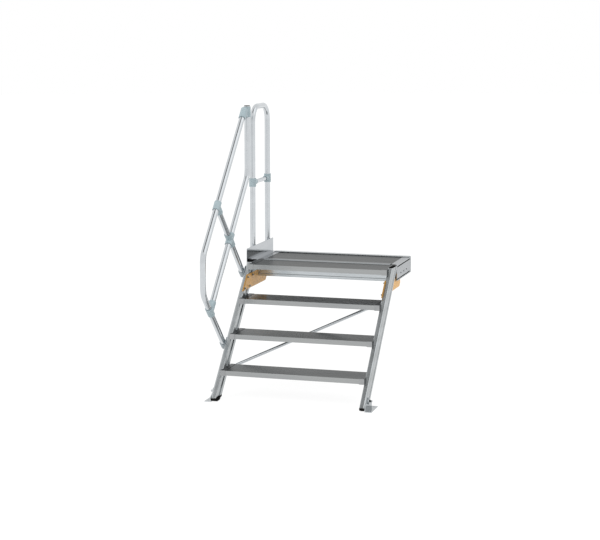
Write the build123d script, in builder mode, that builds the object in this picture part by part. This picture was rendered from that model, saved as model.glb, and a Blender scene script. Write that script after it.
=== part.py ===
from build123d import *
import os
import math

os.makedirs("parts", exist_ok=True)

# Driving dimensions in mm. +X is the right-hand side going up, +Y goes up the flight, +Z is up.
# Below, y counts from the front of the first nosing and z from the floor. yz() and pt() move
# both to the frame's origin, the middle of the rear beam's back face.
STEPS = 3                 # treads below the platform
RISE = 210.0              # from tread top to tread top
FIRST_RISE = 194.0        # floor to the first tread's top
RUN = 206.0               # from nosing to nosing
CLEAR_WIDTH = 986.0       # between the stringers' inner faces
STRINGER_W = 35.0         # thickness of a stringer
RECESS = 5.0              # depth of the web behind a stringer's inner flanges
FLANGE_D = 15.0           # front flange of a stringer, level
WEB_D = 92.0              # front of its rear flange, level
STRINGER_D = 135.0        # depth of a stringer measured level
STRINGER_SETBACK = 47.0   # nosing front to the stringer's front edge, level
WALL = 3.0                # wall of the extrusions
FOOT_H = 28.0             # plastic foot under a stringer
TREAD_DEPTH = 225.0
NOSING_H = 33.0           # height of a tread profile
SHEET = 3.0               # top sheet of a tread
CAP_W = 31.0              # a tread's end cap inside the stringer's flanges
SEAT = 0.3                # play where pieces seat
BOARD_DEPTH = 287.0       # front board of the platform
STRIP = 5.0               # raised front lip of the rear board, and the gap before it
PLAT_D = 693.0            # platform nosing to the rear face
RAIL_W = 14.0             # thickness of the platform's side rails
RAIL_FLANGE = 50.0        # width of their top flange with the rail
FRAME_H = 112.0           # height of the platform frame
BEAM_SET = 218.0          # platform nosing to the front cross beam
BEAM_D = 40.0             # thickness of the cross beams
REAR_GAP = 13.0           # open joint between the rear board and the rear beam
TOE_H = 100.0             # toe board above the deck
TUBE_OD = 40.0
TUBE_WALL = 2.5
TUBE_OFF = 44.0           # side rail to the plane of the handrail tubes
BEND = 110.0              # centre-line radius of the tube bends
GUARD_H = 1100.0          # guardrail above the deck
HOOP_SET = 71.0           # front cross beam to the hoop's front leg
HOOP_END = 52.0           # hoop's rear leg to the rear face
SLEEVE_R = 25.0           # outer radius of a tube connector
GATE_SET = 169.0          # platform nosing to the upright tube at the head of the flight
HAND_H = 960.0            # handrail's centre line over the first nosing
KNEE_H = 437.0            # knee rail's centre line over the first nosing

TOP = FIRST_RISE + STEPS * RISE          # platform height
PLAT_Y = STEPS * RUN                     # platform nosing
FRAME_Z = TOP - FRAME_H                  # underside of the platform frame
BEAM_TOP = TOP - NOSING_H - SEAT         # the boards lie on the beams
MID = FRAME_Z + FRAME_H / 2              # height of the origin
REACH = PLAT_Y + PLAT_D                  # first nosing to the rear face
BEAM_Y = PLAT_Y + BEAM_SET               # front face of the front cross beam
HOOP_Y1 = BEAM_Y + HOOP_SET
HOOP_Y2 = REACH - HOOP_END
GATE_Y = PLAT_Y + GATE_SET
IN_X = CLEAR_WIDTH / 2                   # inner face of a stringer's flanges
RAIL_X = IN_X + RECESS                   # its web, and inner face of the side rails
OUT_X = IN_X + STRINGER_W                # outer face of a stringer
FRAME_X = RAIL_X + RAIL_W                # outer face of the side rails
FLANGE_X = FRAME_X - RAIL_FLANGE         # inner edge of their top flange
TUBE_X = -FRAME_X - TUBE_OFF             # plane of the tubes, left side
SLOPE = RUN / RISE
ANG = math.atan2(RISE, RUN)
CA = math.cos(ANG)
SA = math.sin(ANG)
STRINGER_TOP = TOP + 8.0


def yz(x):
    return Plane(origin=(x, -REACH, -MID), x_dir=(0, 1, 0), z_dir=(1, 0, 0))


def pt(x, y, z):
    return (x, y - REACH, z - MID)


def slab(x0, x1, points, mode=Mode.ADD):
    # a closed outline in y and z, drawn out along x
    with BuildSketch(yz(min(x0, x1))) as sk:
        with BuildLine():
            Polyline(*points, close=True)
        make_face()
    extrude(sk.sketch, amount=abs(x1 - x0), mode=mode)


def bar(x0, x1, y0, y1, z0, z1, mode=Mode.ADD):
    slab(x0, x1, [(y0, z0), (y1, z0), (y1, z1), (y0, z1)], mode)


def rod(a, b, r, mode=Mode.ADD):
    # a round bar between two points given in x, y and z
    va, vb = Vector(*pt(*a)), Vector(*pt(*b))
    with BuildSketch(Plane(origin=va, z_dir=vb - va)) as sk:
        Circle(r)
    extrude(sk.sketch, amount=(vb - va).length, mode=mode)


def tube(points, outer, wall, bend=BEND):
    # a bent hollow tube along points given in x, y and z
    with BuildLine() as ln:
        if len(points) == 2:
            Line(pt(*points[0]), pt(*points[1]))
        else:
            FilletPolyline(*[pt(*p) for p in points], radius=bend)
    with BuildSketch(Plane(origin=ln.line @ 0, z_dir=ln.line % 0)) as sk:
        Circle(outer / 2)
        Circle(outer / 2 - wall, mode=Mode.SUBTRACT)
    sweep(sk.sketch, path=ln.line)


def front_y(z):
    # front edge line of the stringers
    return STRINGER_SETBACK + (z - FIRST_RISE) * SLOPE


def band(z0, z1, d0, d1):
    # a strip along the flight between two level distances behind the stringer's front edge
    return [(front_y(z0) + d0, z0), (front_y(z0) + d1, z0), (front_y(z1) + d1, z1), (front_y(z1) + d0, z1)]


# outline in y and z of the painted plate that joins a stringer to its side rail
def plate_outline(play=0.0):
    z0, z1 = FRAME_Z - 57 - play, FRAME_Z + 46 + play
    y0, y1 = BEAM_Y + 168, BEAM_Y + 192 + play
    return [(front_y(z0) + 2 - play, z0), (y0, z0), (y1, z0 + 21), (y1, z1), (front_y(z1) + 2 - play, z1)]


# stringers: hollow extrusions with rounded front edges, a recessed inner web and a shallow
# band along the outer face. Their flanges are cut back where the painted plates lie.
HOLLOW_X0 = RAIL_X + WALL
HOLLOW_X1 = OUT_X - WALL
HOLLOW_D0 = WALL / SA + 8
HOLLOW_D1 = STRINGER_D - WALL / SA


def front_edge(x):
    edges = BuildPart._get_context().part.edges().filter_by(GeomType.LINE)
    long = edges.filter_by(lambda e: abs(e.length - (STRINGER_TOP - FOOT_H) / SA) < 1.0)
    return long.filter_by(lambda e: abs(e.center().X - x) < 0.01).sort_by(Axis.Y)[0]


def stringer(side):
    xi, xo = IN_X * side, OUT_X * side
    z0, z1 = FOOT_H - 1, STRINGER_TOP + 1
    slab(xi, xo, band(FOOT_H, STRINGER_TOP, 0, STRINGER_D))
    fillet(front_edge(xo), radius=12.0)
    fillet(front_edge(xi), radius=5.0)
    slab(HOLLOW_X0 * side, HOLLOW_X1 * side, band(z0, z1, HOLLOW_D0, HOLLOW_D1), Mode.SUBTRACT)
    slab(xi, RAIL_X * side, band(z0, z1, FLANGE_D, WEB_D), Mode.SUBTRACT)
    slab(xi, RAIL_X * side, plate_outline(SEAT), Mode.SUBTRACT)
    slab(xo, xo - 1.5 * side, band(z0, z1, 34, 104), Mode.SUBTRACT)


with BuildPart() as stringer_left:
    stringer(-1)
stringer_left.part.label = "stringer_left"
export_step(stringer_left.part, "parts/stringer_left.step")

with BuildPart() as stringer_right:
    stringer(1)
stringer_right.part.label = "stringer_right"
export_step(stringer_right.part, "parts/stringer_right.step")


# black inserts in the stringers' open tops: a thin lid with a plug under it
LID = 1.5


def stringer_plug(side, z0, z1):
    slab((HOLLOW_X0 + SEAT) * side, (HOLLOW_X1 - SEAT) * side, band(z0, z1, HOLLOW_D0 + 1.5, HOLLOW_D1 - 1.5))


def stringer_cap(side):
    z = STRINGER_TOP
    bar((IN_X + WALL) * side, (OUT_X - WALL) * side, front_y(z) + 4, front_y(z) + STRINGER_D - 3, z, z + LID)
    upright = BuildPart._get_context().part.edges().filter_by(Axis.Z)
    outer = upright.filter_by(lambda e: abs(e.center().X - (OUT_X - WALL) * side) < 0.01)
    fillet(outer.sort_by(Axis.Y)[0], radius=9.0)
    stringer_plug(side, z - 18, z)


with BuildPart() as stringer_cap_left:
    stringer_cap(-1)
stringer_cap_left.part.label = "stringer_cap_left"
export_step(stringer_cap_left.part, "parts/stringer_cap_left.step")

with BuildPart() as stringer_cap_right:
    stringer_cap(1)
stringer_cap_right.part.label = "stringer_cap_right"
export_step(stringer_cap_right.part, "parts/stringer_cap_right.step")


# plastic feet pushed into the stringers from below, each with a rocker-shaped sole
def foot(side):
    y0 = front_y(FOOT_H)
    sole = [(1, FOOT_H), (1, 13), (38, 0), (90, 0), (106, 12), (132, 17), (134, FOOT_H)]
    slab(IN_X * side, OUT_X * side, [(y0 + d, z) for d, z in sole])
    across = BuildPart._get_context().part.edges().filter_by(Axis.X)
    fillet(across.filter_by(lambda e: e.center().Z < FOOT_H - MID - 1), radius=4.0)
    stringer_plug(side, FOOT_H, FOOT_H + 26)


with BuildPart() as foot_left:
    foot(-1)
foot_left.part.label = "foot_left"
export_step(foot_left.part, "parts/foot_left.step")

with BuildPart() as foot_right:
    foot(1)
foot_right.part.label = "foot_right"
export_step(foot_right.part, "parts/foot_right.step")

# floor brackets: an angle beside each foot, its upright rounded about the bolt
BRACKET_Y = -21.0
BRACKET_L = 180.0
BRACKET_OUT = 45.0
BRACKET_T = 5.0
BRACKET_EDGE = 33.0       # height of the upright's ends
BOLT_Z = 57.0
BOSS_R = 22.0
ANCHOR_R = 6.5


def floor_bracket(side):
    xo = OUT_X * side
    y0, y1 = BRACKET_Y - BRACKET_L / 2, BRACKET_Y + BRACKET_L / 2
    bar(xo, xo + BRACKET_OUT * side, y0, y1, 0, BRACKET_T)
    slab(xo, xo + BRACKET_T * side,
         [(y0, 0), (y1, 0), (y1, BRACKET_EDGE), (BRACKET_Y + 18, BOLT_Z + 10), (BRACKET_Y - 18, BOLT_Z + 10),
          (y0, BRACKET_EDGE)])
    rod((xo, BRACKET_Y, BOLT_Z), (xo + 12 * side, BRACKET_Y, BOLT_Z), BOSS_R)
    rod((xo, BRACKET_Y, BOLT_Z), (xo + 28 * side, BRACKET_Y, BOLT_Z), 6.5)
    for dy in (-60, 60):
        xm = xo + 26 * side
        rod((xm, BRACKET_Y + dy, -1), (xm, BRACKET_Y + dy, BRACKET_T + 1), ANCHOR_R, Mode.SUBTRACT)


with BuildPart() as floor_bracket_left:
    floor_bracket(-1)
floor_bracket_left.part.label = "floor_bracket_left"
export_step(floor_bracket_left.part, "parts/floor_bracket_left.step")

with BuildPart() as floor_bracket_right:
    floor_bracket(1)
floor_bracket_right.part.label = "floor_bracket_right"
export_step(floor_bracket_right.part, "parts/floor_bracket_right.step")

# treads: extruded planks with a front nosing, a rear lip and two ribs
TREAD_X = IN_X - SEAT - WALL - SEAT


def plank(half, y, top, depth, height):
    bar(-half, half, y, y + depth, top - SHEET, top)
    bar(-half, half, y, y + 4, top - height, top - SHEET)
    bar(-half, half, y + 4, y + 22, top - height, top - height + 3)
    bar(-half, half, y + depth - 3, y + depth, top - height, top - SHEET)
    bar(-half, half, y + depth - 18, y + depth - 3, top - height, top - height + 3)
    for k in (1, 2):
        yr = y + depth * k / 3
        bar(-half, half, yr - 1.5, yr + 1.5, top - height, top - SHEET)


def end_caps(y, top, depth):
    # a shoe over each end of a tread: top, front and an end plate in the stringer's web,
    # cut back beside the stringer's flanges
    z0, z1 = top - NOSING_H - 3, top + 1.8
    for side in (-1, 1):
        xe = (RAIL_X - SEAT) * side
        xi = (IN_X - CAP_W) * side
        bar(xi, xe, y - 1.8, y + depth + 0.5, top + SEAT, z1)
        bar(xi, xe, y - 1.8, y - SEAT, z0, z1)
        bar((IN_X - SEAT - WALL) * side, xe, y - 1.8, y + depth + 0.5, z0, z1)
        for d0, d1 in ((-1, FLANGE_D), (WEB_D, STRINGER_D + 1)):
            notch = band(z0 - 1, z1 + 1, d0 - SEAT, d1 + SEAT)
            slab((IN_X - SEAT) * side, (RAIL_X + 1) * side, notch, Mode.SUBTRACT)


def tread(i):
    plank(TREAD_X, i * RUN, FIRST_RISE + i * RISE, TREAD_DEPTH, NOSING_H)


def tread_caps(i):
    end_caps(i * RUN, FIRST_RISE + i * RISE, TREAD_DEPTH)


with BuildPart() as tread_1:
    tread(0)
tread_1.part.label = "tread_1"
export_step(tread_1.part, "parts/tread_1.step")

with BuildPart() as tread_2:
    tread(1)
tread_2.part.label = "tread_2"
export_step(tread_2.part, "parts/tread_2.step")

with BuildPart() as tread_3:
    tread(2)
tread_3.part.label = "tread_3"
export_step(tread_3.part, "parts/tread_3.step")

with BuildPart() as tread_1_end_caps:
    tread_caps(0)
tread_1_end_caps.part.label = "tread_1_end_caps"
export_step(tread_1_end_caps.part, "parts/tread_1_end_caps.step")

with BuildPart() as tread_2_end_caps:
    tread_caps(1)
tread_2_end_caps.part.label = "tread_2_end_caps"
export_step(tread_2_end_caps.part, "parts/tread_2_end_caps.step")

with BuildPart() as tread_3_end_caps:
    tread_caps(2)
tread_3_end_caps.part.label = "tread_3_end_caps"
export_step(tread_3_end_caps.part, "parts/tread_3_end_caps.step")

# platform deck: a front board with the treads' nosing and a rear board with a raised lip
with BuildPart() as platform_front_board:
    plank(TREAD_X, PLAT_Y, TOP, BOARD_DEPTH, NOSING_H)
    for wing in (-1, 1):
        bar(TREAD_X * wing, (RAIL_X - SEAT) * wing, BEAM_Y, PLAT_Y + BOARD_DEPTH, TOP - SHEET, TOP)
platform_front_board.part.label = "platform_front_board"
export_step(platform_front_board.part, "parts/platform_front_board.step")

with BuildPart() as platform_end_caps:
    end_caps(PLAT_Y, TOP, BEAM_SET - 1)
platform_end_caps.part.label = "platform_end_caps"
export_step(platform_end_caps.part, "parts/platform_end_caps.step")

REAR_Y = PLAT_Y + BOARD_DEPTH + STRIP
with BuildPart() as platform_rear_board:
    half = FLANGE_X - SEAT
    plank(half, REAR_Y, TOP - 2, REACH - BEAM_D - REAR_GAP - REAR_Y, NOSING_H - 2)
    bar(-half, half, REAR_Y, REAR_Y + STRIP, TOP - 5, TOP + 4)
platform_rear_board.part.label = "platform_rear_board"
export_step(platform_rear_board.part, "parts/platform_rear_board.step")


# platform frame: two hollow cross beams and two side rails
BEAM_FRONT = 6.5          # front wall of the front beam, with a groove along it
BEAM_GROOVE = 18.5        # height of the groove in that beam
with BuildPart() as front_beam:
    half = IN_X - SEAT
    bar(-half, half, BEAM_Y, BEAM_Y + BEAM_D, FRAME_Z, BEAM_TOP)
    bar(-IN_X, IN_X, BEAM_Y + BEAM_FRONT, BEAM_Y + BEAM_D - WALL, FRAME_Z + WALL, BEAM_TOP - WALL,
        Mode.SUBTRACT)
    zg = FRAME_Z + BEAM_GROOVE
    bar(-IN_X, IN_X, BEAM_Y - 1, BEAM_Y + 3.5, zg - 2, zg + 2, Mode.SUBTRACT)
front_beam.part.label = "front_beam"
export_step(front_beam.part, "parts/front_beam.step")

with BuildPart() as rear_beam:
    half = FRAME_X - WALL - SEAT
    bar(-half, half, REACH - BEAM_D, REACH, FRAME_Z, TOP)
    bar(-FRAME_X, FRAME_X, REACH - BEAM_D + WALL, REACH - WALL, FRAME_Z + WALL, TOP - WALL, Mode.SUBTRACT)
rear_beam.part.label = "rear_beam"
export_step(rear_beam.part, "parts/rear_beam.step")

RAIL_Y = BEAM_Y + 26
RAIL_GROOVE = 8.0         # the rails' grooves start this far from top and bottom, and go as deep


def side_rail(side):
    # a hollow rail with two flanges for the boards; its outer wall runs on over the rear beam's end
    xo, xi = FRAME_X * side, RAIL_X * side
    y1 = REACH - BEAM_D - SEAT
    bar(xi, xo, RAIL_Y, y1, FRAME_Z, TOP)
    bar(xi + 2.5 * side, xo - 2.5 * side, RAIL_Y - 1, y1 + 1, FRAME_Z + 15.5, TOP - 16, Mode.SUBTRACT)
    bar(xo - WALL * side, xo, y1 - 5, REACH, FRAME_Z, TOP)
    bar(xi, FLANGE_X * side, REAR_Y, y1, TOP - 4, TOP)
    bar(xi, (FLANGE_X - 22) * side, BEAM_Y + BEAM_D + 3, y1, BEAM_TOP - 4, BEAM_TOP)
    for z in (TOP - RAIL_GROOVE - 5, FRAME_Z + RAIL_GROOVE):
        bar(xo, xo - RAIL_GROOVE * side, RAIL_Y - 1, y1, z, z + 5, Mode.SUBTRACT)


with BuildPart() as side_rail_left:
    side_rail(-1)
side_rail_left.part.label = "side_rail_left"
export_step(side_rail_left.part, "parts/side_rail_left.step")

with BuildPart() as side_rail_right:
    side_rail(1)
side_rail_right.part.label = "side_rail_right"
export_step(side_rail_right.part, "parts/side_rail_right.step")


# painted plates that join stringer and side rail
def side_bracket(side):
    slab(IN_X * side, RAIL_X * side, plate_outline())


with BuildPart() as side_bracket_left:
    side_bracket(-1)
side_bracket_left.part.label = "side_bracket_left"
export_step(side_bracket_left.part, "parts/side_bracket_left.step")

with BuildPart() as side_bracket_right:
    side_bracket(1)
side_bracket_right.part.label = "side_bracket_right"
export_step(side_bracket_right.part, "parts/side_bracket_right.step")

# toe board on the left: an upright plate with a foot on the side rail
TOE_Y = PLAT_Y + 66
with BuildPart() as toe_board:
    bar(-OUT_X - 3, -OUT_X, TOE_Y, REACH - 3, TOP - 34, TOP + TOE_H)
    bar(-OUT_X - 3, -FRAME_X + 13, BEAM_Y + 4, REACH - 8, TOP, TOP + 3)
toe_board.part.label = "toe_board"
export_step(toe_board.part, "parts/toe_board.step")

# guardrail hoop with its mid rail, connectors and clamps
HOOP_TOP = TOP + GUARD_H - TUBE_OD / 2
HOOP_FOOT = FRAME_Z + 2
MID_Z = TOP + 546.0
MID_OD = 30.0
with BuildPart() as hoop:
    tube([(TUBE_X, HOOP_Y1, HOOP_FOOT), (TUBE_X, HOOP_Y1, HOOP_TOP),
          (TUBE_X, HOOP_Y2, HOOP_TOP), (TUBE_X, HOOP_Y2, HOOP_FOOT)], TUBE_OD, TUBE_WALL)
hoop.part.label = "hoop"
export_step(hoop.part, "parts/hoop.step")

R_IN = TUBE_OD / 2 + SEAT
with BuildPart() as hoop_mid_rail:
    tube([(TUBE_X, HOOP_Y1 + R_IN + 3, MID_Z), (TUBE_X, HOOP_Y2 - R_IN - 3, MID_Z)], MID_OD, 2.0)
hoop_mid_rail.part.label = "hoop_mid_rail"
export_step(hoop_mid_rail.part, "parts/hoop_mid_rail.step")


def hoop_connector(y, sign):
    rod((TUBE_X, y, MID_Z - 30), (TUBE_X, y, MID_Z + 30), SLEEVE_R)
    rod((TUBE_X, y, MID_Z), (TUBE_X, y + 62 * sign, MID_Z), MID_OD / 2 + 5)
    rod((TUBE_X, y, MID_Z - 31), (TUBE_X, y, MID_Z + 31), R_IN, Mode.SUBTRACT)
    rod((TUBE_X, y + (R_IN + 2) * sign, MID_Z), (TUBE_X, y + 63 * sign, MID_Z), MID_OD / 2 + SEAT, Mode.SUBTRACT)


with BuildPart() as hoop_connector_front:
    hoop_connector(HOOP_Y1, 1)
hoop_connector_front.part.label = "hoop_connector_front"
export_step(hoop_connector_front.part, "parts/hoop_connector_front.step")

with BuildPart() as hoop_connector_rear:
    hoop_connector(HOOP_Y2, -1)
hoop_connector_rear.part.label = "hoop_connector_rear"
export_step(hoop_connector_rear.part, "parts/hoop_connector_rear.step")


def hoop_clamp(y):
    bar(TUBE_X + 6, -FRAME_X - SEAT, y - 26, y + 26, FRAME_Z + 16, FRAME_Z + 68)
    rod((TUBE_X, y, FRAME_Z + 10), (TUBE_X, y, FRAME_Z + 80), R_IN, Mode.SUBTRACT)


with BuildPart() as hoop_clamp_front:
    hoop_clamp(HOOP_Y1)
hoop_clamp_front.part.label = "hoop_clamp_front"
export_step(hoop_clamp_front.part, "parts/hoop_clamp_front.step")

with BuildPart() as hoop_clamp_rear:
    hoop_clamp(HOOP_Y2)
hoop_clamp_rear.part.label = "hoop_clamp_rear"
export_step(hoop_clamp_rear.part, "parts/hoop_clamp_rear.step")

# stair handrail. Rails run as z = y / SLOPE + c, posts across the slope as y * SLOPE + z = s.
HAND_C = FIRST_RISE + HAND_H
KNEE_C = FIRST_RISE + KNEE_H


def rail_z(c, y):
    return y / SLOPE + c


def cross(c, s):
    y = (s - c) / (1 / SLOPE + SLOPE)
    return y, rail_z(c, y)


UP_Z = TOP - 57.5         # sockets on the stringer's face
LOW_Z = FIRST_RISE + 139.6
UP_Y = front_y(UP_Z) + 46.4
LOW_Y = front_y(LOW_Z) + 56
MID_S = UP_Y * SLOPE + UP_Z
LOW_S = LOW_Y * SLOPE + LOW_Z
VERT_Y = -164.0
LOW_END = LOW_Y + 22
T_Y, T_Z = cross(HAND_C, MID_S)
X_Y, X_Z = cross(KNEE_C, MID_S)
L_Y, L_Z = cross(KNEE_C, LOW_S)
HEAD_Y = GATE_Y - 61
POST_TOP = TOP + 1098.0


def post_z(s, y):
    return s - y * SLOPE


with BuildPart() as handrail_tube:
    tube([(TUBE_X, HEAD_Y, rail_z(HAND_C, HEAD_Y)), (TUBE_X, VERT_Y, rail_z(HAND_C, VERT_Y)),
          (TUBE_X, VERT_Y, post_z(LOW_S, VERT_Y)), (TUBE_X, LOW_END, post_z(LOW_S, LOW_END))],
         TUBE_OD, TUBE_WALL)
handrail_tube.part.label = "handrail_tube"
export_step(handrail_tube.part, "parts/handrail_tube.step")

GAP = R_IN + 2.0          # a tube that meets another one stops here from its centre line
with BuildPart() as knee_rail_tube:
    y_end = L_Y + GAP * CA
    tube([(TUBE_X, GATE_Y, POST_TOP - 4), (TUBE_X, GATE_Y, rail_z(KNEE_C, GATE_Y)),
          (TUBE_X, y_end, rail_z(KNEE_C, y_end))], TUBE_OD, TUBE_WALL)
knee_rail_tube.part.label = "knee_rail_tube"
export_step(knee_rail_tube.part, "parts/knee_rail_tube.step")

with BuildPart() as gate_post_cap:
    rod((TUBE_X, GATE_Y, POST_TOP - 4), (TUBE_X, GATE_Y, POST_TOP), TUBE_OD / 2)
    rod((TUBE_X, GATE_Y, POST_TOP - 20), (TUBE_X, GATE_Y, POST_TOP - 4), TUBE_OD / 2 - TUBE_WALL - SEAT)
gate_post_cap.part.label = "gate_post_cap"
export_step(gate_post_cap.part, "parts/gate_post_cap.step")


def along(y, z, up, out):
    # a point moved up the slope and out across it, towards the front
    return (TUBE_X, y + up * CA - out * SA, z + up * SA + out * CA)


with BuildPart() as middle_post_upper:
    tube([along(T_Y, T_Z, 0, -GAP), along(X_Y, X_Z, 0, GAP)], TUBE_OD, TUBE_WALL)
middle_post_upper.part.label = "middle_post_upper"
export_step(middle_post_upper.part, "parts/middle_post_upper.step")

with BuildPart() as middle_post_lower:
    tube([along(X_Y, X_Z, 0, -GAP), (TUBE_X, UP_Y + 12, post_z(MID_S, UP_Y + 12))], TUBE_OD, TUBE_WALL)
middle_post_lower.part.label = "middle_post_lower"
export_step(middle_post_lower.part, "parts/middle_post_lower.step")

# plastic tube connectors
with BuildPart() as handrail_connector:
    rod(along(T_Y, T_Z, -34, 0), along(T_Y, T_Z, 34, 0), SLEEVE_R)
    rod((TUBE_X, T_Y, T_Z), along(T_Y, T_Z, 0, -66), SLEEVE_R)
    rod(along(T_Y, T_Z, -35, 0), along(T_Y, T_Z, 35, 0), R_IN, Mode.SUBTRACT)
    rod(along(T_Y, T_Z, 0, -GAP + SEAT), along(T_Y, T_Z, 0, -67), R_IN, Mode.SUBTRACT)
handrail_connector.part.label = "handrail_connector"
export_step(handrail_connector.part, "parts/handrail_connector.step")

with BuildPart() as cross_connector:
    rod(along(X_Y, X_Z, -46, 0), along(X_Y, X_Z, 46, 0), SLEEVE_R)
    rod(along(X_Y, X_Z, 0, -62), along(X_Y, X_Z, 0, 62), SLEEVE_R)
    rod(along(X_Y, X_Z, -47, 0), along(X_Y, X_Z, 47, 0), R_IN, Mode.SUBTRACT)
    rod(along(X_Y, X_Z, 0, -GAP + SEAT), along(X_Y, X_Z, 0, -63), R_IN, Mode.SUBTRACT)
    rod(along(X_Y, X_Z, 0, GAP - SEAT), along(X_Y, X_Z, 0, 63), R_IN, Mode.SUBTRACT)
cross_connector.part.label = "cross_connector"
export_step(cross_connector.part, "parts/cross_connector.step")

with BuildPart() as lower_connector:
    rod(along(L_Y, L_Z, 0, -38), along(L_Y, L_Z, 0, 38), SLEEVE_R)
    rod((TUBE_X, L_Y, L_Z), along(L_Y, L_Z, 76, 0), SLEEVE_R)
    rod(along(L_Y, L_Z, 0, -39), along(L_Y, L_Z, 0, 39), R_IN, Mode.SUBTRACT)
    rod(along(L_Y, L_Z, GAP - SEAT, 0), along(L_Y, L_Z, 77, 0), R_IN, Mode.SUBTRACT)
lower_connector.part.label = "lower_connector"
export_step(lower_connector.part, "parts/lower_connector.step")

with BuildPart() as top_connector:
    hy, hz = HEAD_Y, rail_z(HAND_C, HEAD_Y)
    rod((TUBE_X, GATE_Y, POST_TOP - 80), (TUBE_X, GATE_Y, POST_TOP - 8), SLEEVE_R)
    rod(along(hy, hz, -78, 0), along(hy, hz, 5, 0), SLEEVE_R)
    slab(TUBE_X - 14, TUBE_X + 14,
         [(hy - 8, hz - 8), (GATE_Y, hz - 8), (GATE_Y, hz - 60), (hy - 14, hz - 40)])
    rod((TUBE_X, GATE_Y, POST_TOP - 100), (TUBE_X, GATE_Y, POST_TOP - 7), R_IN, Mode.SUBTRACT)
    rod(along(hy, hz, -79, 0), along(hy, hz, SEAT, 0), R_IN, Mode.SUBTRACT)
top_connector.part.label = "top_connector"
export_step(top_connector.part, "parts/top_connector.step")


# sockets on the left stringer's outer face that take the posts' lower ends: a ring round the
# tube and a body that runs down into a plate
def socket(s, y):
    z = post_z(s, y)
    q = [along(y, z, a, b) for a, b in ((-28, -58), (28, -58), (28, 34), (-28, 34))]
    slab(-OUT_X - 4, -OUT_X, [(p[1], p[2]) for p in q])
    rod(along(y, z, 0, -10), along(y, z, 0, 10), SLEEVE_R)
    low = along(y, z, 0, -52)
    rod(along(y, z, 0, 4), (-OUT_X, low[1], low[2]), SLEEVE_R - 3)
    rod(along(y, z, 0, -40), along(y, z, 0, 0), SLEEVE_R - 1)
    bar(-OUT_X, -OUT_X + 40, y - 200, y + 200, z - 200, z + 200, Mode.SUBTRACT)
    rod(along(y, z, 0, -34), along(y, z, 0, 53), R_IN, Mode.SUBTRACT)


with BuildPart() as lower_socket:
    socket(LOW_S, LOW_Y)
lower_socket.part.label = "lower_socket"
export_step(lower_socket.part, "parts/lower_socket.step")

with BuildPart() as upper_socket:
    socket(MID_S, UP_Y)
upper_socket.part.label = "upper_socket"
export_step(upper_socket.part, "parts/upper_socket.step")

# diagonal brace behind the treads, from the first one's left end to the third one's right end
BRACE_R = 11.0
BRACE_OFF = 43.0          # centre line behind the rear lips of the treads it is bolted to
with BuildPart() as diagonal_brace:
    ya, yb = TREAD_DEPTH, 2 * RUN + TREAD_DEPTH
    za, zb = FIRST_RISE - 14, FIRST_RISE + 2 * RISE - 14
    xb = IN_X - 20
    rod((-xb, ya + BRACE_OFF, za), (xb, yb + BRACE_OFF, zb), BRACE_R)
    rod((-xb, ya + BRACE_OFF, za), (xb, yb + BRACE_OFF, zb), BRACE_R - 2, Mode.SUBTRACT)
    for xm, y, z in ((-xb, ya, za), (xb, yb, zb)):
        bar(xm - 16, xm + 16, y + SEAT, y + 4, z - 15, z + 13)
        bar(xm - 16, xm + 16, y + 4, y + BRACE_OFF + 8, z - 4, z + 1)
diagonal_brace.part.label = "diagonal_brace"
export_step(diagonal_brace.part, "parts/diagonal_brace.step")
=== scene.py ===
import bmesh
import bpy
import math
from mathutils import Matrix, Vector


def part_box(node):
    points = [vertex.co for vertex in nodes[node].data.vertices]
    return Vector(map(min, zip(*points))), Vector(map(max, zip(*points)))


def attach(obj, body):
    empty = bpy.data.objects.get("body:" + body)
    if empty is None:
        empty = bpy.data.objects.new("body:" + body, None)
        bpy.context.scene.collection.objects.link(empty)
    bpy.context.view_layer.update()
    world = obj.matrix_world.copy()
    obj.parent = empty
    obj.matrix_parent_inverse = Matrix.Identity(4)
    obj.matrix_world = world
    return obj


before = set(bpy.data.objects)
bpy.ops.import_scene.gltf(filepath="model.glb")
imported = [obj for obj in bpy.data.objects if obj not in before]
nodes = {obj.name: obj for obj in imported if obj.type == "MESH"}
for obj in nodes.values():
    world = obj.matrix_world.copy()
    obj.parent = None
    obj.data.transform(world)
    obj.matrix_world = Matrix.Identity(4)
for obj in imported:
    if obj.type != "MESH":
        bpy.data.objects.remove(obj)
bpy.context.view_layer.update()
scene = bpy.context.scene
scene.view_settings.view_transform = "Standard"
scene.cycles.max_bounces = 16       # enough for the light between a tread and what is above it
scene.cycles.glossy_bounces = 12

# The photograph's frame, and the view worked out from the treads' edges.
PHOTO_W = 600
FOCAL_PX = 1689.0
CAMERA_AT = (3.1228, -11.8062, 1.8265)
CAMERA_YAW = 16.27        # degrees to the left of the line up the flight
CAMERA_PITCH = 8.81       # degrees downwards
SENSOR = 36.0             # mm, across the picture's long side

FLOOR_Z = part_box("foot_left")[0].z
MM = 0.001


def linear(text):
    # an sRGB hex value as linear RGBA
    out = []
    for k in (0, 2, 4):
        c = int(text[k:k + 2], 16) / 255
        out.append(c / 12.92 if c <= 0.04045 else ((c + 0.055) / 1.055) ** 2.4)
    return (*out, 1.0)


def add(tree, kind, settings=None, inputs=None):
    # a node with its settings, and its inputs given as values or as another node's output
    n = tree.nodes.new(kind)
    for key, value in (settings or {}).items():
        setattr(n, key, value)
    for key, value in (inputs or {}).items():
        if isinstance(value, bpy.types.NodeSocket):
            tree.links.new(value, n.inputs[key])
        else:
            n.inputs[key].default_value = value
    return n


def start(name, values=None):
    # a material with its principled shader and the constants on that shader's sockets
    m = bpy.data.materials.new(name)
    m.use_nodes = True
    shader = m.node_tree.nodes["Principled BSDF"]
    for key, value in (values or {}).items():
        shader.inputs[key].default_value = value
    return m, m.node_tree, shader


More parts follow.
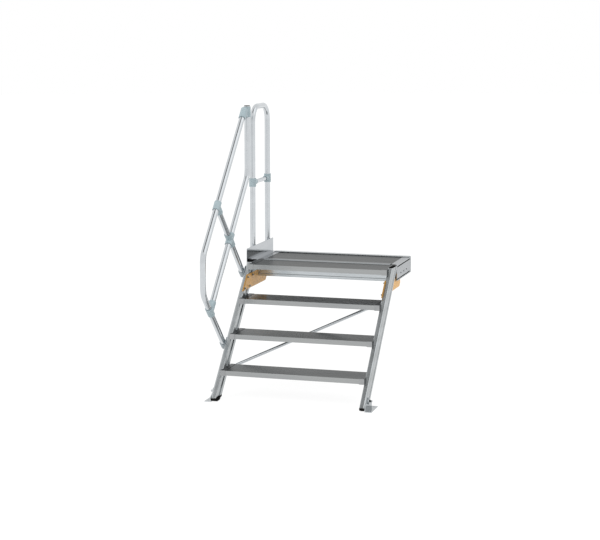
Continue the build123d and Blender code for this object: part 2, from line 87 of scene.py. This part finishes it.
def along_grain(tree, turn, lines_mm, length_mm):
    # object coordinates in which one step is a die line across the grain and length_mm along it
    where = add(tree, "ShaderNodeTexCoord").outputs["Object"]
    across = 1 / (lines_mm * MM)
    return add(tree, "ShaderNodeMapping", {"vector_type": "POINT"}, {
        "Vector": add(tree, "ShaderNodeVectorRotate", {"rotation_type": "EULER_XYZ"},
                      {"Vector": where, "Rotation": turn}).outputs[0],
        "Scale": (1 / (length_mm * MM), across, across)}).outputs[0]


def tint(tree, vector, dark, light):
    # a slow change between two shades of one finish
    noise = add(tree, "ShaderNodeTexNoise", None, {"Vector": vector, "Scale": 1.0, "Detail": 2.0})
    ramp = add(tree, "ShaderNodeValToRGB", None, {"Fac": noise.outputs[0]})
    for stop, position, shade in zip(ramp.color_ramp.elements, (0.35, 0.65), (dark, light)):
        stop.position = position
        stop.color = linear(shade)
    return ramp.outputs[0]


def spread(tree, vector, middle, wander):
    # a number that wanders about a middle value over the surface
    noise = add(tree, "ShaderNodeTexNoise", None, {"Vector": vector, "Scale": 1.0, "Detail": 3.0})
    return add(tree, "ShaderNodeMapRange", None, {
        "Value": noise.outputs[0], "From Min": 0.3, "From Max": 0.7,
        "To Min": middle - wander, "To Max": middle + wander}).outputs[0]


def bump(tree, vector, depth_mm):
    # a fine relief of the given depth
    noise = add(tree, "ShaderNodeTexNoise", None, {"Vector": vector, "Scale": 1.0, "Detail": 2.0})
    return add(tree, "ShaderNodeBump", None, {
        "Height": noise.outputs[0], "Distance": depth_mm * MM, "Strength": 0.5}).outputs[0]


def extruded(name, dark, light, rough, turn, edge=1.0, depth_mm=0.02):
    # Extruded aluminium: satin, with fine die lines along the section. They are drawn 1.5 mm apart,
    # coarser than the real ones, so that they show. The edge tint sets how far the metal lights up
    # where the eye grazes it.
    m, tree, shader = start(name, {"Metallic": 1.0, "Specular Tint": (edge, edge, edge, 1.0)})
    grain = along_grain(tree, turn, 1.5, 400.0)
    slow = along_grain(tree, turn, 60.0, 500.0)
    tree.links.new(tint(tree, slow, dark, light), shader.inputs["Base Color"])
    tree.links.new(spread(tree, grain, rough, 0.04), shader.inputs["Roughness"])
    tree.links.new(bump(tree, grain, depth_mm), shader.inputs["Normal"])
    return m


# Which way a section runs
SIDEWAYS = (0.0, 0.0, 0.0)
LENGTHWAYS = (0.0, 0.0, math.radians(90))
UP_THE_FLIGHT = (0.0, math.radians(-45.55), math.radians(90))

# Anodised sections are paler and even. Mill finish is duller, most of all where the eye grazes the
# tops of the treads and the deck. The sheet and the angles are smooth and mirror what is near.
# The top tread's higher edge tint is painted light, which lightens it under the overhanging deck.
stringer_metal = extruded("anodised_aluminium_stringer", "A9ADAE", "B7BBBD", 0.26, UP_THE_FLIGHT, 0.87)
beam_metal = extruded("anodised_aluminium_beam", "BCC1C4", "C6CBCE", 0.22, SIDEWAYS, 0.9)
rail_metal = extruded("anodised_aluminium_rail", "BFC3C6", "C8CCCF", 0.22, LENGTHWAYS, 0.65)
tread_metal = extruded("mill_aluminium_tread", "9EA0A1", "A4A6A6", 0.26, SIDEWAYS, 0.38)
deck_metal = extruded("mill_aluminium_deck", "9FA1A1", "A5A7A7", 0.26, SIDEWAYS, 0.32)
tread_metal_with_painted_light = extruded("mill_aluminium_tread_painted_light", "9EA0A1", "A4A6A6", 0.26, SIDEWAYS, 0.55)
cap_metal = extruded("mill_aluminium_end_cap", "9A9C9D", "A4A5A6", 0.26, LENGTHWAYS, 0.38)
trim_metal = extruded("bright_aluminium_trim", "B4B8BA", "BEC2C4", 0.22, SIDEWAYS, 0.9)
strip_metal = extruded("mill_aluminium_strip", "A6AAAC", "B0B4B6", 0.26, SIDEWAYS, 0.5)
toe_metal = extruded("bright_aluminium_sheet", "BFC3C7", "C8CCCF", 0.10, LENGTHWAYS, 0.8, 0.005)
bracket_metal = extruded("bright_aluminium_angle", "BFC4C7", "CCD0D2", 0.15, LENGTHWAYS, 0.7)


def even_metal(name, dark, light, rough, grain_mm=1.2, depth_mm=0.01, wander=0.04):
    # Metal with no grain of its own: satin, with a faint cloudiness left by the bath or the mould.
    m, tree, shader = start(name, {"Metallic": 1.0})
    where = along_grain(tree, SIDEWAYS, 40.0, 40.0)
    fine = along_grain(tree, SIDEWAYS, grain_mm, grain_mm)
    tree.links.new(tint(tree, where, dark, light), shader.inputs["Base Color"])
    tree.links.new(spread(tree, where, rough, wander), shader.inputs["Roughness"])
    tree.links.new(bump(tree, fine, depth_mm), shader.inputs["Normal"])
    return m


# The tubes are smooth enough to show streaks of what is overhead. Zinc is bright and a little blue,
# dull steel nearly black, and the metal in the groove is painted shade: a darker grey for the groove's
# shadow.
tube_metal = even_metal("anodised_aluminium_tube", "C6CACD", "CBCFD2", 0.13, 1.2, 0.002, 0.01)
zinc = even_metal("zinc_plated_steel", "8F9496", "A5AAAC", 0.25)
dull_steel = even_metal("dull_steel", "3E4345", "4C5153", 0.4)
shaded_metal = even_metal("painted_shade_in_a_groove", "858B8E", "8E9497", 0.4)


def plain(name, dark, light, rough, shine, grain_mm=0.8, depth_mm=0.03):
    # Moulded plastic, enamel or a coat on castings: a soft sheen over a plain colour, with the fine
    # grain of the mould.
    m, tree, shader = start(name, {"Specular IOR Level": shine})
    slow = along_grain(tree, SIDEWAYS, 25.0, 25.0)
    grain = along_grain(tree, SIDEWAYS, grain_mm, grain_mm)
    tree.links.new(tint(tree, slow, dark, light), shader.inputs["Base Color"])
    tree.links.new(spread(tree, slow, rough, 0.05), shader.inputs["Roughness"])
    tree.links.new(bump(tree, grain, depth_mm), shader.inputs["Normal"])
    return m


# The connectors are blue grey and half dull. The sockets and clamps are castings under a paler coat,
# and the black plugs and feet take no gloss at all. The enamel is thin and smooth; the darker amber
# on the plates' cut edges is painted shade.
connector_plastic = plain("glass_filled_polyamide", "93A2A7", "9CABB0", 0.38, 0.4)
socket_coat = plain("grey_coat_on_cast_aluminium", "9CA5AA", "A9B1B5", 0.45, 0.3)
black_plastic_and_groove_shade = plain("black_polyethylene_and_painted_groove_shade", "161616", "202020", 0.5, 0.0)
plate_paint = plain("amber_enamel_on_steel", "CC942F", "D29A34", 0.3, 0.35, 2.5, 0.004)
amber_enamel_painted_edge_shade = plain("amber_enamel_with_painted_edge_shade", "A87A28", "AF802C", 0.4, 0.25, 2.5, 0.004)

FINISH = {
    "stringer_left": stringer_metal, "stringer_right": stringer_metal,
    "stringer_cap_left": black_plastic_and_groove_shade, "stringer_cap_right": black_plastic_and_groove_shade,
    "foot_left": black_plastic_and_groove_shade, "foot_right": black_plastic_and_groove_shade,
    "floor_bracket_left": bracket_metal, "floor_bracket_right": bracket_metal,
    "platform_front_board": deck_metal, "platform_rear_board": deck_metal,
    "platform_end_caps": deck_metal,
    "front_beam": beam_metal, "rear_beam": beam_metal,
    "side_rail_left": rail_metal, "side_rail_right": rail_metal,
    "side_bracket_left": plate_paint, "side_bracket_right": plate_paint,
    "toe_board": toe_metal, "gate_post_cap": black_plastic_and_groove_shade,
    "lower_socket": socket_coat, "upper_socket": socket_coat,
    "hoop_clamp_front": socket_coat, "hoop_clamp_rear": socket_coat,
    "diagonal_brace": tube_metal,
}
for k in (1, 2, 3):
    FINISH[f"tread_{k}"] = tread_metal
    FINISH[f"tread_{k}_end_caps"] = cap_metal
# Painted light: the top tread takes a copy of the tread metal with a higher edge tint, to lighten it
# under the deck.
FINISH["tread_3"] = tread_metal_with_painted_light
for name in ("hoop", "hoop_mid_rail", "handrail_tube", "knee_rail_tube",
             "middle_post_upper", "middle_post_lower"):
    FINISH[name] = tube_metal
for name in ("hoop_connector_front", "hoop_connector_rear",
             "handrail_connector", "cross_connector", "lower_connector", "top_connector"):
    FINISH[name] = connector_plastic

for name, piece in nodes.items():
    piece.data.materials.clear()
    piece.data.materials.append(FINISH[name])

# Fasteners and trims. Places are in mm, y from the first nosing and z from the floor.
REACH, MID = 1311.0, 768.0                  # the frame's origin in y and z
FRONT_AT_FLOOR, SLOPE = -143.3, 206 / 210   # front line of the stringers: y at z = 0, and y over z
TOP, FRAME_Z = 824.0, 712.0                 # top of the deck and underside of its frame

# Outlines of turned heads: shares of the radius and of the height
BUTTON = ((1.0, 0.0), (1.0, 0.2), (0.93, 0.5), (0.75, 0.8), (0.5, 1.0), (0.46, 1.0), (0.42, 0.35))
NUT = ((1.0, 0.0), (1.0, 0.16), (0.8, 0.16), (0.8, 0.7),
       (0.7, 0.78), (0.5, 0.78), (0.5, 0.95), (0.4, 1.0))
SIDES = 18


def place(x, y, z):
    # a point in the shared frame, in metres
    return Vector((x, y - REACH, z - MID)) * MM


def joined(name, bm, metal, round_mm=0.0):
    # the mesh as one object that rides on the root, with its edges rounded where asked
    bmesh.ops.recalc_face_normals(bm, faces=bm.faces)
    mesh = bpy.data.meshes.new(name)
    bm.to_mesh(mesh)
    bm.free()
    mesh.materials.append(metal)
    o = bpy.data.objects.new(name, mesh)
    scene.collection.objects.link(o)
    if round_mm:
        soft = o.modifiers.new("rounded", "BEVEL")
        soft.width = round_mm * MM
        soft.segments = 3
    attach(o, "root")


def heads(name, radius, height, places, profile=BUTTON, metal=zinc):
    # turned heads, each on a point and facing along a direction
    bm = bmesh.new()
    for at, axis in places:
        out = Vector(axis)
        side = out.orthogonal().normalized()
        up = out.cross(side)
        angles = [2 * math.pi * k / SIDES for k in range(SIDES)]
        turn = [side * math.cos(a) + up * math.sin(a) for a in angles]
        rings = [[bm.verts.new(place(*at) + (out * h * height + t * r * radius) * MM) for t in turn]
                 for r, h in profile]
        for low, high in zip(rings, rings[1:]):
            for k in range(SIDES):
                bm.faces.new((low[k], low[k - 1], high[k - 1], high[k]))
        bm.faces.new(rings[0])
        bm.faces.new(rings[-1])
    joined(name, bm, metal)


def lengths(name, metal, pieces, round_mm=0.0):
    # straight pieces of a section: an outline in y and z between two values of x
    bm = bmesh.new()
    for x0, x1, outline in pieces:
        ends = [[bm.verts.new(place(x, y, z)) for y, z in outline] for x in (x0, x1)]
        for k in range(len(outline)):
            bm.faces.new((ends[0][k - 1], ends[0][k], ends[1][k], ends[1][k - 1]))
        bm.faces.new(ends[0])
        bm.faces.new(ends[1])
    joined(name, bm, metal, round_mm)


def box_outline(y0, y1, z0, z1):
    # a rectangle as an outline
    return [(y0, z0), (y1, z0), (y1, z1), (y0, z1)]


def front_y(z):
    # where the stringers' front edge is at a height
    return FRONT_AT_FLOOR + z * SLOPE


PLATE_X = 493.0                     # inner face of the amber plates
PLATE_BOLTS = ((588, 740), (696, 740), (520, 670), (628, 670))
PLATE_NUT = (7.5, 13.0)             # radius and height, as in the next sizes
RAIL_X = 512.0                      # outer face of the side rails
RAIL_SCREWS, RAIL_SCREW_Z = (990, 1079, 1168), 754
RAIL_SCREW = (5.0, 2.5)
ANCHOR_BOLT = (540, -21, 57)        # where a floor bracket is bolted to its stringer
ANCHOR_NUT = (8.5, 17.0)
TOE_X, TOE_Y = -531.0, 700          # outer face of the toe board, and its bolts' row
TOE_BOLTS = (824, 868, 880)
TOE_BOLT = (4.0, 5.0)
NOSE_X, NOSE_Z = (492.2, 497.6), (655.3, 757.7)
NOSE = 24.0                         # how far the plates reach in front of the stringers
NOSE_BACK = 3.0                     # how far that rim goes behind their front edge
GROOVE_X, GROOVE_Y = (504.2, 512.25), (862.5, 1270)
GROOVES, GROOVE_H = (TOP - 15.8, FRAME_Z + 8.1), 7.2
BEAM_GROOVE = (836.6, 839.4, 728.6, 732.4)
BEAM_END, STRIP_END, RIM_END = 492, 461, 508    # half lengths
JOINT_STRIP = ((868, 0.2), (869, 3.6), (872, 4.8), (915.6, 4.8),
               (917.4, 3.0), (917.4, -1.8), (911, -1.8), (911, 0.2))    # y, and z from the deck's top
REAR_RIM = (1264, 1310.8, TOP + 0.2, TOP + 5)

for side, word in ((-1, "left"), (1, "right")):
    heads(f"plate_bolts_{word}", *PLATE_NUT,
          [((side * PLATE_X, y, z), (-side, 0, 0)) for y, z in PLATE_BOLTS], NUT)
    heads(f"rail_screws_{word}", *RAIL_SCREW,
          [((side * RAIL_X, y, RAIL_SCREW_Z), (side, 0, 0)) for y in RAIL_SCREWS], BUTTON, dull_steel)
    x, y, z = ANCHOR_BOLT
    heads(f"floor_bracket_nut_{word}", *ANCHOR_NUT, [((side * x, y, z), (side, 0, 0))], NUT,
          dull_steel if side > 0 else bracket_metal)
    z0, z1 = NOSE_Z
    # Painted shade: the plates' noses take a darker amber that stands for the shade on their cut edges.
    lengths(f"plate_nose_{word}", amber_enamel_painted_edge_shade, [
        (side * NOSE_X[0], side * NOSE_X[1],
         [(front_y(z0) - NOSE, z0), (front_y(z0) + NOSE_BACK, z0),
          (front_y(z1) + NOSE_BACK, z1), (front_y(z1) - NOSE, z1)])], round_mm=0.6)
    # Painted shade: black strips set in the side rails' grooves, where the deep slots lie in shadow.
    lengths(f"rail_groove_painted_shade_{word}", black_plastic_and_groove_shade, [
        (side * GROOVE_X[0], side * GROOVE_X[1], box_outline(*GROOVE_Y, z, z + GROOVE_H))
        for z in GROOVES])
heads("toe_board_bolts", *TOE_BOLT, [((TOE_X, TOE_Y, z), (-1, 0, 0)) for z in TOE_BOLTS])
# Painted shade: a darker grey strip laid in the front beam's groove to stand for its shadow.
lengths("front_beam_groove_painted_shade", shaded_metal,
        [(-BEAM_END, BEAM_END, box_outline(*BEAM_GROOVE))])
lengths("deck_joint_strip", strip_metal,
        [(-STRIP_END, STRIP_END, [(y, TOP + z) for y, z in JOINT_STRIP])], round_mm=0.4)
lengths("rear_rim", trim_metal,
        [(-RIM_END, RIM_END, box_outline(*REAR_RIM))], round_mm=1.2)

# Floor: plain and white. It shows its shade softly and keeps the stair's shadow.
FLOOR_R = 40.0
bpy.ops.mesh.primitive_circle_add(vertices=96, radius=FLOOR_R, fill_type="NGON", location=(0, 0, FLOOR_Z))
floor = bpy.context.object
floor.name = "floor"
paper = bpy.data.materials.new("white_studio_floor")
paper.use_nodes = True


def seen_by_eye(tree):
    # 1 for the camera's own rays and for what shines in metal or plastic
    path = add(tree, "ShaderNodeLightPath")
    through = add(tree, "ShaderNodeMath", {"operation": "MAXIMUM"}, {
        0: path.outputs["Is Glossy Ray"], 1: path.outputs["Is Transmission Ray"]})
    return add(tree, "ShaderNodeMath", {"operation": "MAXIMUM"}, {
        0: path.outputs["Is Camera Ray"], 1: through.outputs[0]}).outputs[0]


tree = paper.node_tree
tree.nodes.clear()
GLOW = 0.85               # share of the floor's white that no shadow takes away
WHITE = 1.08              # strength at which that share renders plain white
fac = add(tree, "ShaderNodeMath", {"operation": "MULTIPLY"}, {0: seen_by_eye(tree), 1: GLOW})
diffuse = add(tree, "ShaderNodeBsdfDiffuse", None, {"Color": (0.9, 0.9, 0.9, 1)})
white = add(tree, "ShaderNodeEmission", None, {"Color": (1, 1, 1, 1), "Strength": WHITE})
mixed = add(tree, "ShaderNodeMixShader", None, {
    0: fac.outputs[0], 1: diffuse.outputs[0], 2: white.outputs[0]})
add(tree, "ShaderNodeOutputMaterial", None, {"Surface": mixed.outputs[0]})
floor.data.materials.append(paper)

# World: even light, seen as white by the camera and in the metal, with a dark patch overhead that
# deepens towards the middle and the front.
PATCH_FROM, PATCH_TO = 0.80, 0.88       # height of a direction where the patch sets in
PATCH_LEAN = (-5.5, 4.5, 0.0)           # how its value changes with direction
PATCH_BASE = 0.03
PATCH_DARKEST = 0.10
PATCH_END = (0.05, 0.15)                # sideways, where it ends on the right
SOFTBOX_TOWARD = (0.67, 0.04, 0.74)     # a bright spot that leaning tubes show as a light streak
SOFTBOX_FROM, SOFTBOX_TO = 0.88, 0.95   # cosines of the angles where it begins and is full
SOFTBOX_GAIN = 0.35
world = bpy.data.worlds.new("studio")
scene.world = world
world.use_nodes = True
tree = world.node_tree
tree.nodes.clear()
toward = add(tree, "ShaderNodeTexCoord").outputs["Generated"]
lean = add(tree, "ShaderNodeVectorMath", {"operation": "DOT_PRODUCT"}, {0: toward, 1: PATCH_LEAN})
patch = add(tree, "ShaderNodeMapRange", None, {
    "Value": lean.outputs["Value"], "From Min": PATCH_DARKEST - PATCH_BASE, "From Max": 1 - PATCH_BASE,
    "To Min": PATCH_DARKEST, "To Max": 1.0}).outputs[0]
split = add(tree, "ShaderNodeSeparateXYZ", None, {0: toward})
beyond = add(tree, "ShaderNodeMapRange", None, {
    "Value": split.outputs["X"], "From Min": PATCH_END[0], "From Max": PATCH_END[1]}).outputs[0]
patch = add(tree, "ShaderNodeMath", {"operation": "MAXIMUM"}, {0: patch, 1: beyond}).outputs[0]
gate = add(tree, "ShaderNodeMapRange", {"interpolation_type": "SMOOTHSTEP"}, {
    "Value": split.outputs["Z"], "From Min": PATCH_FROM, "From Max": PATCH_TO}).outputs[0]
overhead = add(tree, "ShaderNodeMix", {"data_type": "FLOAT"}, {0: gate, 2: 1.0, 3: patch}).outputs[0]
nearness = add(tree, "ShaderNodeVectorMath", {"operation": "DOT_PRODUCT"}, {0: toward, 1: SOFTBOX_TOWARD})
softbox = add(tree, "ShaderNodeMapRange", {"interpolation_type": "SMOOTHSTEP"}, {
    "Value": nearness.outputs["Value"], "From Min": SOFTBOX_FROM, "From Max": SOFTBOX_TO,
    "To Min": 0.0, "To Max": SOFTBOX_GAIN}).outputs[0]
overhead = add(tree, "ShaderNodeMath", {"operation": "ADD"}, {0: overhead, 1: softbox}).outputs[0]
even = add(tree, "ShaderNodeBackground", None, {"Color": (1, 1, 1, 1), "Strength": 1.0})
shown = add(tree, "ShaderNodeBackground", None, {"Color": (1, 1, 1, 1), "Strength": overhead})
mixed = add(tree, "ShaderNodeMixShader", None, {
    0: seen_by_eye(tree), 1: even.outputs[0], 2: shown.outputs[0]})
add(tree, "ShaderNodeOutputWorld", None, {"Surface": mixed.outputs[0]})


LAMPS_FACE = Vector((0, -0.7, 0))         # the middle of the stair, which the lamps face
LAMP_SIZE = 3.0


def soft_light(name, location, power):
    # a wide round lamp that gives light and soft shade, and isn't seen in the metal
    lamp = bpy.data.lights.new(name, "AREA")
    lamp.shape = "DISK"
    lamp.size = LAMP_SIZE
    lamp.energy = power
    o = bpy.data.objects.new(name, lamp)
    scene.collection.objects.link(o)
    o.location = location
    o.rotation_euler = (LAMPS_FACE - Vector(location)).to_track_quat("-Z", "Y").to_euler()
    o.visible_camera = False
    o.visible_glossy = False


soft_light("key", (-3.5, -5.0, 4.5), 120)
soft_light("fill", (5.0, -3.0, 3.0), 60)

camera = bpy.data.objects.new("camera", bpy.data.cameras.new("camera"))
scene.collection.objects.link(camera)
scene.camera = camera
camera.location = CAMERA_AT
camera.rotation_euler = (math.radians(90 - CAMERA_PITCH), 0, math.radians(CAMERA_YAW))
camera.data.sensor_width = SENSOR
camera.data.lens = FOCAL_PX / PHOTO_W * SENSOR
camera.data.clip_end = 200
